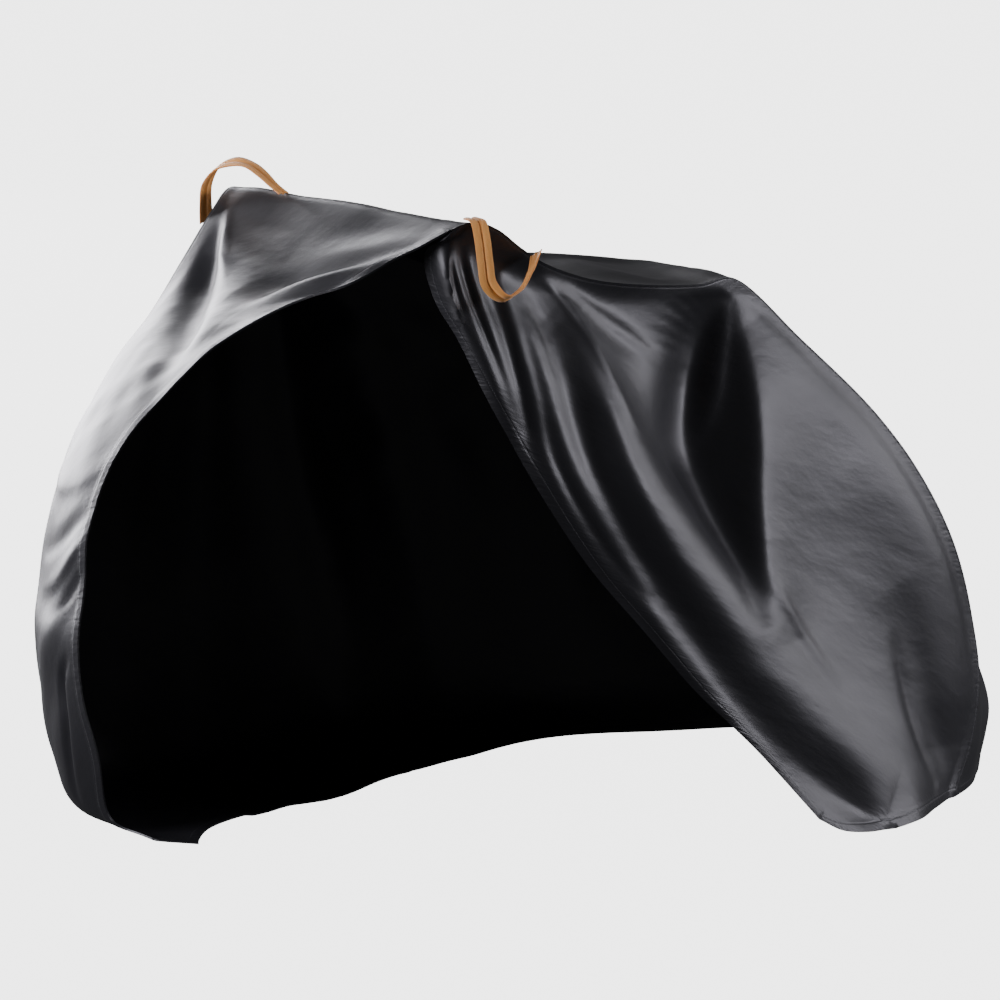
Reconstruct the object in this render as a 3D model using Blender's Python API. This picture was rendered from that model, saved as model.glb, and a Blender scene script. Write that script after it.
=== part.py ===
"""Draped cover for two bicycles, its near side lifted and bunched at the near handlebar end.

Frame: +X runs from the front wheels to the rear wheels, +Y to the far side, +Z up, and the origin is on the
floor, under the middle of the cover. Three sewn panels carry the drape: a centre panel from the front hem over
the handlebars and saddles to the rear hem, and a side panel on each side of it. Two webbing loops are sewn to
the top. The bicycles themselves aren't part of the cover.
"""

from collections import namedtuple

import bpy
import numpy as np
from mathutils import Matrix, Vector

# Cloth and seams, metres
CLOTH = 0.002
SEAM_GAP = 0.0003
FLOOR_CLEARANCE = 0.0005
WEBBING_WIDTH = 0.028
WEBBING = 0.0022

# Grid of each panel: rows along the centre panel's three stretches, and columns across it
FRONT_ROWS = 26
ROOF_ROWS = 18
REAR_ROWS = 26
CROSS_COLUMNS = 12
WEBBING_STEPS = 28

# Rows or columns over which a fold dies out beside a seam, and the share of the front's rows over which it
# dies out beside the roof
SEAM_HOLD = 1.2
ZONE_FADE = 0.12
FOLD_STEPS = 40

# The tables below measure x and y from a place between the bicycles' wheels; the part's own origin is here
ORIGIN = (0.167, 0.027, 0.0)
INSIDE = np.array((0.15, 0.0, 0.5))
AXES = {"front": (1, 2), "rear": (1, 2), "roof": (0, 1), "near": (0, 2), "far": (0, 2)}

# Colours, linear
BLACK_CLOTH = (0.018, 0.018, 0.021, 1.0)
ORANGE_WEBBING = (0.82, 0.30, 0.05, 1.0)

# The centre panel, row by row. near and far are its two edges; belly moves the middle of the row off the
# straight line between them.
Row = namedtuple("Row", "near far belly")
FRONT = (
    Row((-0.545, -0.050, 0.004), (-0.360, 0.120, 0.003), (-0.02, 0.02, 0.000)),
    Row((-0.612, 0.020, 0.005), (-0.520, 0.300, 0.003), (-0.02, 0.00, 0.000)),
    Row((-0.655, 0.085, 0.026), (-0.600, 0.350, 0.030), (-0.03, 0.00, -0.006)),
    Row((-0.700, 0.035, 0.150), (-0.630, 0.385, 0.110), (-0.04, 0.00, 0.000)),
    Row((-0.730, 0.030, 0.262), (-0.652, 0.400, 0.240), (-0.03, 0.00, 0.000)),
    Row((-0.731, 0.030, 0.420), (-0.645, 0.410, 0.400), (-0.03, 0.00, 0.000)),
    Row((-0.710, 0.030, 0.572), (-0.612, 0.420, 0.545), (-0.03, 0.00, 0.010)),
    Row((-0.668, 0.020, 0.685), (-0.556, 0.430, 0.680), (-0.03, 0.00, 0.015)),
    Row((-0.619, 0.000, 0.767), (-0.500, 0.430, 0.775), (-0.02, 0.00, 0.012)),
    Row((-0.504, -0.100, 0.911), (-0.420, 0.430, 0.870), (-0.01, 0.00, 0.008)),
    Row((-0.383, -0.220, 1.001), (-0.352, 0.422, 0.975), (0.01, 0.00, -0.012)),
    Row((-0.275, -0.315, 1.066), (-0.310, 0.405, 1.050), (0.01, 0.00, -0.008)),
    Row((-0.195, -0.360, 1.116), (-0.285, 0.385, 1.094), (0.01, 0.00, 0.006)),
)
ROOF = (
    FRONT[-1],
    Row((-0.155, -0.362, 1.124), (-0.225, 0.395, 1.078), (0.00, 0.00, -0.010)),
    Row((-0.112, -0.358, 1.110), (-0.140, 0.390, 1.045), (0.00, 0.00, -0.022)),
    Row((-0.060, -0.348, 1.072), (-0.040, 0.375, 1.008), (0.00, 0.00, -0.025)),
    Row((-0.004, -0.328, 1.038), (0.060, 0.355, 0.980), (0.00, 0.00, -0.022)),
    Row((0.110, -0.292, 0.996), (0.200, 0.325, 0.956), (0.00, 0.00, -0.016)),
    Row((0.240, -0.268, 0.974), (0.340, 0.300, 0.944), (0.00, 0.00, -0.012)),
    Row((0.340, -0.250, 0.966), (0.450, 0.285, 0.930), (0.00, 0.00, -0.008)),
    Row((0.420, -0.235, 0.968), (0.545, 0.270, 0.912), (0.00, 0.00, 0.004)),
)
REAR = (
    ROOF[-1],
    Row((0.549, -0.235, 0.853), (0.660, 0.270, 0.815), (0.00, 0.00, -0.012)),
    Row((0.712, -0.235, 0.696), (0.800, 0.270, 0.680), (-0.01, 0.00, -0.014)),
    Row((0.785, -0.235, 0.603), (0.880, 0.270, 0.585), (-0.01, 0.00, -0.008)),
    Row((0.866, -0.235, 0.454), (0.960, 0.275, 0.440), (0.01, 0.00, 0.000)),
    Row((0.905, -0.235, 0.313), (1.005, 0.280, 0.300), (0.03, 0.00, 0.000)),
    Row((0.915, -0.245, 0.200), (1.040, 0.290, 0.190), (0.05, 0.00, 0.000)),
    Row((0.890, -0.265, 0.095), (1.060, 0.300, 0.090), (0.09, 0.00, 0.000)),
    Row((0.835, -0.300, 0.004), (1.050, 0.310, 0.004), (0.09, -0.02, 0.000)),
)

# The free hem of the near panel, from the bunch at the handlebar down to the floor
NEAR_FREE_HEM = (
    (-0.195, -0.360, 1.116),
    (-0.232, -0.335, 1.060),
    (-0.222, -0.340, 1.000),
    (-0.186, -0.365, 0.923),
    (-0.150, -0.390, 0.832),
    (-0.107, -0.405, 0.743),
    (-0.057, -0.420, 0.650),
    (0.040, -0.435, 0.505),
    (0.114, -0.440, 0.418),
    (0.221, -0.455, 0.288),
    (0.370, -0.475, 0.136),
    (0.458, -0.490, 0.036),
)
# The near panel's hem along the floor, from there to the rear seam
NEAR_FLOOR_HEM = (
    (0.458, -0.490, 0.036),
    (0.505, -0.492, 0.012),
    (0.560, -0.490, 0.004),
    (0.613, -0.484, 0.004),
    (0.680, -0.448, 0.004),
    (0.760, -0.368, 0.004),
    (0.835, -0.300, 0.004),
)
# The far panel's hem along the floor, from the front seam to the rear seam
FAR_FLOOR_HEM = (
    (-0.360, 0.120, 0.003),
    (-0.184, 0.182, 0.004),
    (-0.007, 0.286, 0.004),
    (0.189, 0.394, 0.004),
    (0.400, 0.452, 0.010),
    (0.620, 0.440, 0.004),
    (0.850, 0.390, 0.004),
    (1.050, 0.310, 0.004),
)
FAR_BELLY = 0.035

# Folds, each drawn by marks down its line. a and z place a mark in the plane of its zone: a is x on the side
# panels and y on the front and rear; on the roof the two are x and y. fore and aft are the fold's half widths
# on the side of lower and of higher a, and depth is how far it stands out (ridge) or sinks in (trough).
Fold = namedtuple("Fold", "zone marks")
Mark = namedtuple("Mark", "a z fore aft depth")
FOLDS = (
    Fold("near", (
        Mark(-0.105, 1.040, 0.022, 0.022, 0.000),
        Mark(-0.066, 0.960, 0.022, 0.024, 0.012),
        Mark(-0.028, 0.800, 0.024, 0.026, 0.016),
        Mark(-0.008, 0.715, 0.025, 0.028, 0.018),
        Mark(0.106, 0.490, 0.026, 0.028, 0.019),
        Mark(0.212, 0.325, 0.026, 0.028, 0.017),
        Mark(0.290, 0.220, 0.026, 0.028, 0.013),
        Mark(0.370, 0.120, 0.024, 0.026, 0.000),
    )),
    Fold("near", (
        Mark(-0.030, 1.030, 0.030, 0.040, 0.000),
        Mark(0.028, 0.950, 0.036, 0.050, 0.020),
        Mark(0.076, 0.790, 0.046, 0.070, 0.040),
        Mark(0.096, 0.700, 0.050, 0.080, 0.048),
        Mark(0.190, 0.520, 0.056, 0.085, 0.052),
        Mark(0.272, 0.430, 0.070, 0.085, 0.044),
        Mark(0.355, 0.310, 0.076, 0.085, 0.034),
        Mark(0.452, 0.200, 0.076, 0.075, 0.022),
        Mark(0.545, 0.110, 0.066, 0.060, 0.010),
        Mark(0.625, 0.045, 0.050, 0.050, 0.000),
    )),
    Fold("near", (
        Mark(0.395, 0.950, 0.030, 0.030, 0.000),
        Mark(0.350, 0.885, 0.060, 0.045, -0.030),
        Mark(0.328, 0.800, 0.085, 0.050, -0.056),
        Mark(0.315, 0.700, 0.095, 0.052, -0.066),
        Mark(0.326, 0.600, 0.070, 0.042, -0.052),
        Mark(0.347, 0.500, 0.048, 0.032, -0.030),
        Mark(0.372, 0.370, 0.034, 0.030, 0.000),
    )),
    Fold("near", (
        Mark(0.420, 0.940, 0.034, 0.060, 0.000),
        Mark(0.428, 0.840, 0.032, 0.090, 0.016),
        Mark(0.422, 0.713, 0.030, 0.110, 0.024),
        Mark(0.404, 0.584, 0.030, 0.110, 0.022),
        Mark(0.402, 0.455, 0.034, 0.100, 0.014),
        Mark(0.420, 0.340, 0.040, 0.080, 0.000),
    )),
    Fold("near", (
        Mark(0.460, 0.900, 0.100, 0.045, 0.000),
        Mark(0.520, 0.790, 0.120, 0.050, 0.014),
        Mark(0.640, 0.660, 0.130, 0.060, 0.020),
        Mark(0.715, 0.560, 0.140, 0.065, 0.022),
        Mark(0.790, 0.430, 0.140, 0.065, 0.022),
        Mark(0.825, 0.310, 0.120, 0.060, 0.018),
        Mark(0.835, 0.200, 0.100, 0.055, 0.010),
        Mark(0.830, 0.100, 0.090, 0.050, 0.000),
    )),
    Fold("near", (
        Mark(0.700, 0.400, 0.050, 0.040, 0.000),
        Mark(0.735, 0.300, 0.050, 0.040, -0.008),
        Mark(0.762, 0.200, 0.050, 0.040, -0.013),
        Mark(0.795, 0.110, 0.046, 0.036, -0.013),
        Mark(0.825, 0.040, 0.042, 0.034, -0.006),
    )),
    Fold("front", (
        Mark(0.376, 1.086, 0.040, 0.016, 0.000),
        Mark(0.341, 1.053, 0.060, 0.018, 0.010),
        Mark(0.296, 1.015, 0.090, 0.022, 0.018),
        Mark(0.236, 0.980, 0.110, 0.028, 0.020),
        Mark(0.137, 0.952, 0.110, 0.034, 0.016),
        Mark(-0.025, 0.936, 0.080, 0.040, 0.000),
    )),
    Fold("front", (
        Mark(0.368, 1.050, 0.016, 0.020, 0.000),
        Mark(0.336, 0.984, 0.028, 0.036, -0.014),
        Mark(0.261, 0.927, 0.034, 0.040, -0.026),
        Mark(0.180, 0.904, 0.032, 0.040, -0.032),
        Mark(0.092, 0.884, 0.032, 0.040, -0.028),
        Mark(0.017, 0.848, 0.034, 0.044, -0.016),
        Mark(-0.060, 0.810, 0.034, 0.045, -0.004),
    )),
    Fold("front", (
        Mark(-0.020, 0.415, 0.060, 0.045, 0.000),
        Mark(0.060, 0.375, 0.065, 0.045, 0.007),
        Mark(0.200, 0.355, 0.070, 0.045, 0.009),
        Mark(0.340, 0.365, 0.065, 0.045, 0.005),
        Mark(0.420, 0.390, 0.060, 0.045, 0.000),
    )),
    Fold("roof", (
        Mark(-0.080, -0.300, 0.040, 0.040, 0.000),
        Mark(-0.020, -0.120, 0.050, 0.045, -0.016),
        Mark(0.010, 0.100, 0.055, 0.050, -0.020),
        Mark(-0.060, 0.300, 0.045, 0.040, 0.000),
    )),
    Fold("roof", (
        Mark(0.330, -0.170, 0.050, 0.050, 0.000),
        Mark(0.270, -0.020, 0.050, 0.060, 0.014),
        Mark(0.300, 0.160, 0.050, 0.060, 0.012),
        Mark(0.380, 0.240, 0.050, 0.050, 0.000),
    )),
    Fold("rear", (
        Mark(-0.130, 0.900, 0.040, 0.040, 0.000),
        Mark(-0.110, 0.750, 0.044, 0.050, -0.018),
        Mark(-0.120, 0.500, 0.046, 0.055, -0.024),
        Mark(-0.140, 0.250, 0.046, 0.055, -0.020),
        Mark(-0.160, 0.060, 0.045, 0.050, -0.008),
    )),
    Fold("rear", (
        Mark(0.150, 0.880, 0.045, 0.045, 0.000),
        Mark(0.100, 0.700, 0.050, 0.050, 0.016),
        Mark(0.040, 0.450, 0.055, 0.050, 0.024),
        Mark(0.020, 0.200, 0.055, 0.050, 0.020),
        Mark(0.010, 0.050, 0.055, 0.050, 0.008),
    )),
    Fold("far", (
        Mark(-0.190, 1.020, 0.040, 0.040, 0.000),
        Mark(-0.170, 0.900, 0.040, 0.055, -0.018),
        Mark(-0.130, 0.650, 0.045, 0.065, -0.034),
        Mark(-0.050, 0.350, 0.050, 0.065, -0.034),
        Mark(0.020, 0.080, 0.050, 0.060, -0.016),
    )),
    Fold("far", (
        Mark(-0.060, 0.980, 0.050, 0.050, 0.000),
        Mark(0.000, 0.820, 0.060, 0.060, 0.020),
        Mark(0.090, 0.560, 0.070, 0.065, 0.032),
        Mark(0.160, 0.280, 0.070, 0.065, 0.024),
        Mark(0.200, 0.060, 0.060, 0.060, 0.008),
    )),
    Fold("far", (
        Mark(0.440, 0.900, 0.050, 0.045, 0.000),
        Mark(0.400, 0.740, 0.075, 0.055, -0.036),
        Mark(0.400, 0.540, 0.075, 0.060, -0.040),
        Mark(0.450, 0.300, 0.060, 0.055, -0.022),
        Mark(0.480, 0.100, 0.050, 0.050, 0.000),
    )),
    Fold("far", (
        Mark(0.600, 0.800, 0.045, 0.050, 0.000),
        Mark(0.640, 0.620, 0.050, 0.065, 0.018),
        Mark(0.700, 0.380, 0.055, 0.070, 0.024),
        Mark(0.760, 0.120, 0.055, 0.060, 0.012),
    )),
)

# The webbing loops. at is the middle of the webbing and broad points across its width.
Turn = namedtuple("Turn", "at broad")
LOOPS = {
    "far_loop": (
        Turn((-0.304, 0.4400, 1.028), (0.9, 0.1, 0.1)),
        Turn((-0.313, 0.4240, 1.061), (0.9, 0.3, 0.1)),
        Turn((-0.318, 0.4050, 1.103), (0.9, 0.4, 0.1)),
        Turn((-0.311, 0.3800, 1.132), (0.8, 0.5, 0.3)),
        Turn((-0.298, 0.3400, 1.149), (0.8, 0.2, 0.5)),
        Turn((-0.283, 0.2900, 1.148), (1.0, 0.2, 0.1)),
        Turn((-0.276, 0.2550, 1.136), (0.8, 0.5, 0.1)),
        Turn((-0.268, 0.2250, 1.120), (0.7, 0.7, 0.1)),
        Turn((-0.258, 0.2050, 1.1075), (0.7, 0.7, 0.1)),
    ),
    "near_loop": (
        Turn((-0.150, -0.3350, 1.1290), (1.0, -0.2, 0.0)),
        Turn((-0.152, -0.3700, 1.1270), (1.0, -0.3, 0.0)),
        Turn((-0.156, -0.3950, 1.0980), (0.9, -0.4, 0.0)),
        Turn((-0.157, -0.4080, 1.0610), (0.9, -0.4, 0.0)),
        Turn((-0.152, -0.4150, 1.0220), (0.8, -0.5, 0.2)),
        Turn((-0.126, -0.4200, 0.9980), (0.1, -0.8, 0.5)),
        Turn((-0.095, -0.4140, 1.0090), (-0.3, -0.9, 0.1)),
        Turn((-0.063, -0.3950, 1.0380), (-0.3, -0.9, 0.0)),
        Turn((-0.036, -0.3620, 1.0640), (-0.1, -0.9, 0.0)),
    ),
}


def smooth(knots, values, where):
    """A smooth curve through values at knots, read at where, with no overshoot between unequal knots."""
    knots = np.asarray(knots, float)
    values = np.asarray(values, float)
    where = np.asarray(where, float)
    step = np.diff(knots)
    slope = np.diff(values, axis=0) / step[:, None]
    tangent = np.vstack((slope[:1], slope[-1:]))
    if len(step) > 1:
        before, after = step[:-1, None], step[1:, None]
        inner = (slope[:-1] * after + slope[1:] * before) / (before + after)
        tangent = np.vstack((slope[:1], inner, slope[-1:]))
    index = np.clip(np.searchsorted(knots, where, side="right") - 1, 0, len(step) - 1)
    length = step[index][:, None]
    u = (where - knots[index])[:, None] / length
    return (
        values[index] * (1 + 2 * u) * (1 - u) ** 2
        + values[index + 1] * u**2 * (3 - 2 * u)
        + tangent[index] * length * u * (1 - u) ** 2
        - tangent[index + 1] * length * u**2 * (1 - u)
    )


def along(points, count):
    """count + 1 places along the smooth curve through points, spaced by its length."""
    points = np.asarray(points, float)
    knots = np.concatenate(((0,), np.cumsum(np.linalg.norm(np.diff(points, axis=0), axis=1))))
    fine = smooth(knots, points, np.linspace(0, knots[-1], 40 * len(points)))
    run = np.concatenate(((0,), np.cumsum(np.linalg.norm(np.diff(fine, axis=0), axis=1))))
    even = np.linspace(0, run[-1], count + 1)
    return np.column_stack([np.interp(even, run, fine[:, axis]) for axis in range(3)])


def centre_rows():
    """near, far and belly of every row of the centre panel, front hem to rear hem."""
    stretches = ((FRONT, FRONT_ROWS), (ROOF, ROOF_ROWS), (REAR, REAR_ROWS))
    knots, table = [0.0], [np.ravel(FRONT[0])]
    for index, (rows, _) in enumerate(stretches):
        edges = np.array([np.ravel((row.near, row.far)) for row in rows])
        gap = np.linalg.norm(np.diff(edges, axis=0), axis=1)
        run = np.cumsum(gap) / gap.sum()
        knots += list(index + run)
        table += [np.ravel(row) for row in rows[1:]]
    where = [index + np.arange(count) / count for index, (_, count) in enumerate(stretches)]
    rows = smooth(knots, np.array(table), np.concatenate(where + [np.array((3.0,))]))
    return rows[:, 0:3], rows[:, 3:6], rows[:, 6:9]


def centre_grid():
    near, far, belly = centre_rows()
    c = np.linspace(0, 1, CROSS_COLUMNS + 1)[None, :, None]
    return near[:, None] * (1 - c) + far[:, None] * c + belly[:, None] * 4 * c * (1 - c)


def coons(top, bottom, left, right):
    """The surface that spans four edges: top and bottom run across, left and right run down."""
    s = np.linspace(0, 1, len(top))[None, :, None]
    t = np.linspace(0, 1, len(left))[:, None, None]
    across = top[None] * (1 - t) + bottom[None] * t
    down = left[:, None] * (1 - s) + right[:, None] * s
    corners = (top[0] * (1 - s) + top[-1] * s) * (1 - t) + (bottom[0] * (1 - s) + bottom[-1] * s) * t
    return across + down - corners


def near_grid(centre):
    top = centre[FRONT_ROWS : FRONT_ROWS + ROOF_ROWS + 1, 0]
    right = centre[FRONT_ROWS + ROOF_ROWS :, 0]
    return coons(top, along(NEAR_FLOOR_HEM, ROOF_ROWS), along(NEAR_FREE_HEM, REAR_ROWS), right)


def far_grid(centre):
    top = centre[FRONT_ROWS : FRONT_ROWS + ROOF_ROWS + 1, -1]
    left = centre[FRONT_ROWS::-1, -1]
    right = centre[FRONT_ROWS + ROOF_ROWS :, -1]
    grid = coons(top, along(FAR_FLOOR_HEM, ROOF_ROWS), left, right)
    s = np.linspace(0, 1, ROOF_ROWS + 1)[None, :]
    t = np.linspace(0, 1, REAR_ROWS + 1)[:, None]
    grid[..., 1] += FAR_BELLY * np.sin(np.pi * s) * np.sin(np.pi * t)
    return grid


def normals_of(grid):
    """Unit normals of a grid of points, facing away from the inside of the cover."""
    down, across = np.gradient(grid, axis=(0, 1))
    normal = np.cross(down, across)
    normal /= np.maximum(np.linalg.norm(normal, axis=2, keepdims=True), 1e-9)
    facing = np.sum(normal * (grid - INSIDE), axis=2).mean()
    return normal if facing > 0 else -normal


def fold_offsets(grid, zone):
    """How far each point of the grid moves out along its normal, for all the folds of its zone."""
    flat = grid[..., AXES[zone]]
    total = np.zeros(grid.shape[:2])
    for fold in FOLDS:
        if fold.zone == zone:
            total += fold_offset(flat, np.array(fold.marks, float))
    return total


def fold_offset(flat, marks):
    """The offset of one fold: the nearest place on its line gives the widths and the depth."""
    run = np.concatenate(((0,), np.cumsum(np.linalg.norm(np.diff(marks[:, :2], axis=0), axis=1))))
    line = smooth(run, marks, np.linspace(0, run[-1], FOLD_STEPS + 1))
    best = np.full(flat.shape[:2], np.inf)
    offset = np.zeros(flat.shape[:2])
    for start, end in zip(line[:-1], line[1:]):
        step = end[:2] - start[:2]
        away = flat - start[:2]
        share = np.clip(away @ step / (step @ step), 0, 1)[..., None]
        away = away - share * step
        squared = np.sum(away * away, axis=2)
        fore, aft, depth = np.moveaxis((start + share * (end - start))[..., 2:], 2, 0)
        side = step[0] * away[..., 1] - step[1] * away[..., 0]
        width = np.where(side > 0, aft, fore)
        nearer = squared < best
        best[nearer] = squared[nearer]
        offset[nearer] = (depth * np.exp(-squared / width**2))[nearer]
    return offset


def centre_offsets(grid):
    """The centre panel's folds: its front, roof and rear each have their own, faded out where they meet."""
    row = np.arange(len(grid))[:, None]
    roof_end = FRONT_ROWS + ROOF_ROWS
    reach = ZONE_FADE * FRONT_ROWS
    front = np.clip((FRONT_ROWS - row) / reach, 0, 1)
    rear = np.clip((row - roof_end) / reach, 0, 1)
    roof = np.clip(np.minimum(row - FRONT_ROWS, roof_end - row) / reach, 0, 1)
    return (
        fold_offsets(grid, "front") * front
        + fold_offsets(grid, "roof") * roof
        + fold_offsets(grid, "rear") * rear
    )


def folded(grid, panel, seams):
    """The grid with its folds, its seams kept where they are and its lowest points on the floor."""
    rows, columns = grid.shape[:2]
    from_seam = np.full((rows, columns), np.inf)
    i, j = np.arange(rows)[:, None], np.arange(columns)[None, :]
    distances = {"top": i + 0 * j, "left": j + 0 * i, "right": columns - 1 - j + 0 * i}
    if panel == "centre":
        distances["left"] = j + np.maximum(FRONT_ROWS - i, 0)
    for seam in seams:
        from_seam = np.minimum(from_seam, distances[seam])
    hold = np.clip(from_seam / SEAM_HOLD, 0, 1)
    hold = hold * hold * (3 - 2 * hold)
    offsets = centre_offsets(grid) if panel == "centre" else fold_offsets(grid, panel)
    moved = grid + normals_of(grid) * (offsets * hold)[..., None]
    moved[..., 2] = np.maximum(moved[..., 2], FLOOR_CLEARANCE + CLOTH / 2)
    return moved


def skins(grid, normal, seam_lines):
    """Outer and inner skin of a panel. Along each seam both panels end on the plane halfway between them."""
    half = CLOTH / 2
    outer, inner = grid + normal * half, grid - normal * half
    for index, inward, shared in seam_lines:
        point = grid[index]
        run = np.gradient(point, axis=0)
        run /= np.linalg.norm(run, axis=1, keepdims=True)
        middle = shared - run * np.sum(shared * run, axis=1, keepdims=True)
        middle /= np.linalg.norm(middle, axis=1, keepdims=True)
        lean = np.clip(np.abs(np.sum(middle * normal[index], axis=1, keepdims=True)), 0.6, 1)
        side = np.cross(middle, run)
        side *= np.sign(np.sum(side * (grid[inward] - point), axis=1, keepdims=True))
        outer[index] = point + middle * half / lean + side * SEAM_GAP / 2
        inner[index] = point - middle * half / lean + side * SEAM_GAP / 2
    return outer, inner


def halves(quads):
    """Two triangles from each quad, cut from its first corner to its third."""
    return np.vstack((quads[:, :3], quads[:, (0, 2, 3)]))


def sheet_mesh(name, outer, inner):
    """A closed thin sheet from its two skins, both cut into triangles the same way."""
    rows, columns = outer.shape[:2]
    count = rows * columns
    number = np.arange(count).reshape(rows, columns)
    quads = np.stack((number[:-1, :-1], number[1:, :-1], number[1:, 1:], number[:-1, 1:]), -1).reshape(-1, 4)
    corner = outer.reshape(-1, 3)[quads]
    lengths = np.linalg.norm(corner[:, :2] - corner[:, 2:], axis=2)
    turned = np.where(lengths[:, :1] <= lengths[:, 1:], quads, np.roll(quads, -1, axis=1))
    skin = halves(turned)
    rim = np.concatenate((number[0, :-1], number[:-1, -1], number[-1, :0:-1], number[:0:-1, 0]))
    onward = np.roll(rim, -1)
    wall = halves(np.stack((rim, onward, onward + count, rim + count), -1))
    faces = np.vstack((skin, skin[:, ::-1] + count, wall))
    mesh = bpy.data.meshes.new(name)
    vertices = np.vstack((outer.reshape(-1, 3), inner.reshape(-1, 3)))
    mesh.from_pydata(vertices.tolist(), [], faces.tolist())
    if signed_volume(vertices, faces) < 0:
        mesh.flip_normals()
    mesh.shade_smooth()
    mesh.set_sharp_from_angle(angle=0.9)
    return mesh


def ribbon_mesh(name, turns):
    """A closed band of webbing along its turns."""
    points = np.array([turn.at for turn in turns])
    gap = np.linalg.norm(np.diff(points, axis=0), axis=1)
    knots = np.concatenate(((0,), np.cumsum(gap)))
    where = np.linspace(0, knots[-1], WEBBING_STEPS + 1)
    line = smooth(knots, points, where)
    broad = smooth(knots, np.array([turn.broad for turn in turns]), where)
    run = np.gradient(line, axis=0)
    run /= np.linalg.norm(run, axis=1, keepdims=True)
    broad -= run * np.sum(broad * run, axis=1, keepdims=True)
    broad *= WEBBING_WIDTH / 2 / np.linalg.norm(broad, axis=1, keepdims=True)
    thick = np.cross(run, broad)
    thick *= WEBBING / 2 / np.linalg.norm(thick, axis=1, keepdims=True)
    ring = np.stack((line + broad + thick, line - broad + thick, line - broad - thick, line + broad - thick), 1)
    number = np.arange(ring.shape[0] * 4).reshape(-1, 4)
    onward = np.roll(number, -1, axis=1)
    sides = np.stack((number[:-1], onward[:-1], onward[1:], number[1:]), -1).reshape(-1, 4)
    faces = halves(np.vstack((sides, number[:1, ::-1], number[-1:])))
    vertices = ring.reshape(-1, 3)
    mesh = bpy.data.meshes.new(name)
    mesh.from_pydata(vertices.tolist(), [], faces.tolist())
    if signed_volume(vertices, faces) < 0:
        mesh.flip_normals()
    return mesh


def signed_volume(vertices, faces):
    a, b, c = vertices[faces].transpose(1, 0, 2)
    return np.sum(a * np.cross(b, c)) / 6


def material(name, colour, roughness, sheen):
    made = bpy.data.materials.new(name)
    made.use_nodes = True
    shader = made.node_tree.nodes["Principled BSDF"]
    shader.inputs["Base Color"].default_value = colour
    shader.inputs["Roughness"].default_value = roughness
    shader.inputs["Metallic"].default_value = 0.0
    shader.inputs["Sheen Weight"].default_value = sheen
    made.diffuse_color = colour
    return made


def add(name, mesh, finish):
    mesh.transform(Matrix.Translation(-Vector(ORIGIN)))
    mesh.materials.append(finish)
    made = bpy.data.objects.new(name, mesh)
    bpy.context.scene.collection.objects.link(made)
    return made


def make_panels():
    """The three panels, each with its folds, meeting at two seams."""
    centre = centre_grid()
    roof_end = FRONT_ROWS + ROOF_ROWS
    near, far = near_grid(centre), far_grid(centre)
    centre = folded(centre, "centre", ("left", "right"))
    near = folded(near, "near", ("top", "right"))
    far = folded(far, "far", ("top", "left", "right"))
    normal = {"centre": normals_of(centre), "near": normals_of(near), "far": normals_of(far)}
    grids = {"centre": centre, "near": near, "far": far}

    # Each seam: the rows of the centre panel it takes, and the line of the side panel it joins
    seams = (
        ("near", slice(FRONT_ROWS, roof_end + 1), 0, (0, slice(None)), (1, slice(None))),
        ("near", slice(roof_end, None), 0, (slice(None), -1), (slice(None), -2)),
        ("far", slice(FRONT_ROWS, roof_end + 1), -1, (0, slice(None)), (1, slice(None))),
        ("far", slice(roof_end, None), -1, (slice(None), -1), (slice(None), -2)),
        ("far", slice(FRONT_ROWS, None, -1), -1, (slice(None), 0), (slice(None), 1)),
    )
    lines = {"centre": [], "near": [], "far": []}
    for panel, rows, column, index, inward in seams:
        shared = normal["centre"][rows, column] + normal[panel][index]
        beside = 1 if column == 0 else -2
        lines[panel].append((index, inward, shared))
        lines["centre"].append(((rows, column), (rows, beside), shared))
    return {panel: skins(grids[panel], normal[panel], lines[panel]) for panel in grids}


def clear_scene():
    for old in list(bpy.data.objects):
        bpy.data.objects.remove(old)


def main():
    clear_scene()
    black = material("black_coated_cloth", BLACK_CLOTH, 0.34, 0.1)
    for panel, (outer, inner) in make_panels().items():
        name = panel + "_panel"
        add(name, sheet_mesh(name, outer, inner), black)
    orange = material("orange_webbing", ORANGE_WEBBING, 0.6, 0.2)
    for name, turns in LOOPS.items():
        add(name, ribbon_mesh(name, turns), orange)


main()
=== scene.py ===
"""The draped two-bicycle cover as it looks: coated black cloth with its folds, seams and hems, and orange
webbing loops, on a pale studio floor. Metres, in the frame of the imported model."""

from collections import namedtuple

import bpy
import numpy as np
from mathutils import Matrix, Vector


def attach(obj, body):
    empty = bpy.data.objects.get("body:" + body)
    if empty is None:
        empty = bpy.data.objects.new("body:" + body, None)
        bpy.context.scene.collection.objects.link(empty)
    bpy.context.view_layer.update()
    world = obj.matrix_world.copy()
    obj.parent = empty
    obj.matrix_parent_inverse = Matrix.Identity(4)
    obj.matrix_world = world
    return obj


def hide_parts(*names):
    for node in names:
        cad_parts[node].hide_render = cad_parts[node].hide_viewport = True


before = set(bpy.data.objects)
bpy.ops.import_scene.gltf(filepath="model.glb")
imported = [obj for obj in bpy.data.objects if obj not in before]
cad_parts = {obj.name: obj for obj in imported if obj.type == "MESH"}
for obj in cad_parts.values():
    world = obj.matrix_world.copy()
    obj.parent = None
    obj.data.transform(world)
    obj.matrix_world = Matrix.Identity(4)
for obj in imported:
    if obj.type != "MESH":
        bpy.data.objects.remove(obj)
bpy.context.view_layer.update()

# How many times finer the grids are here than in the solids
FINE = 7

# Cloth, seams and hems, metres
CLOTH = 0.002
SEAM_GAP = 0.0003
FLOOR_CLEARANCE = 0.0005
WEBBING_WIDTH = 0.028
WEBBING = 0.0022
HEM_WIDTH = 0.020
HEM_RISE = 0.0011
HEM_STEP = 0.008
SEAM_ALLOWANCE = 0.012

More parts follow.
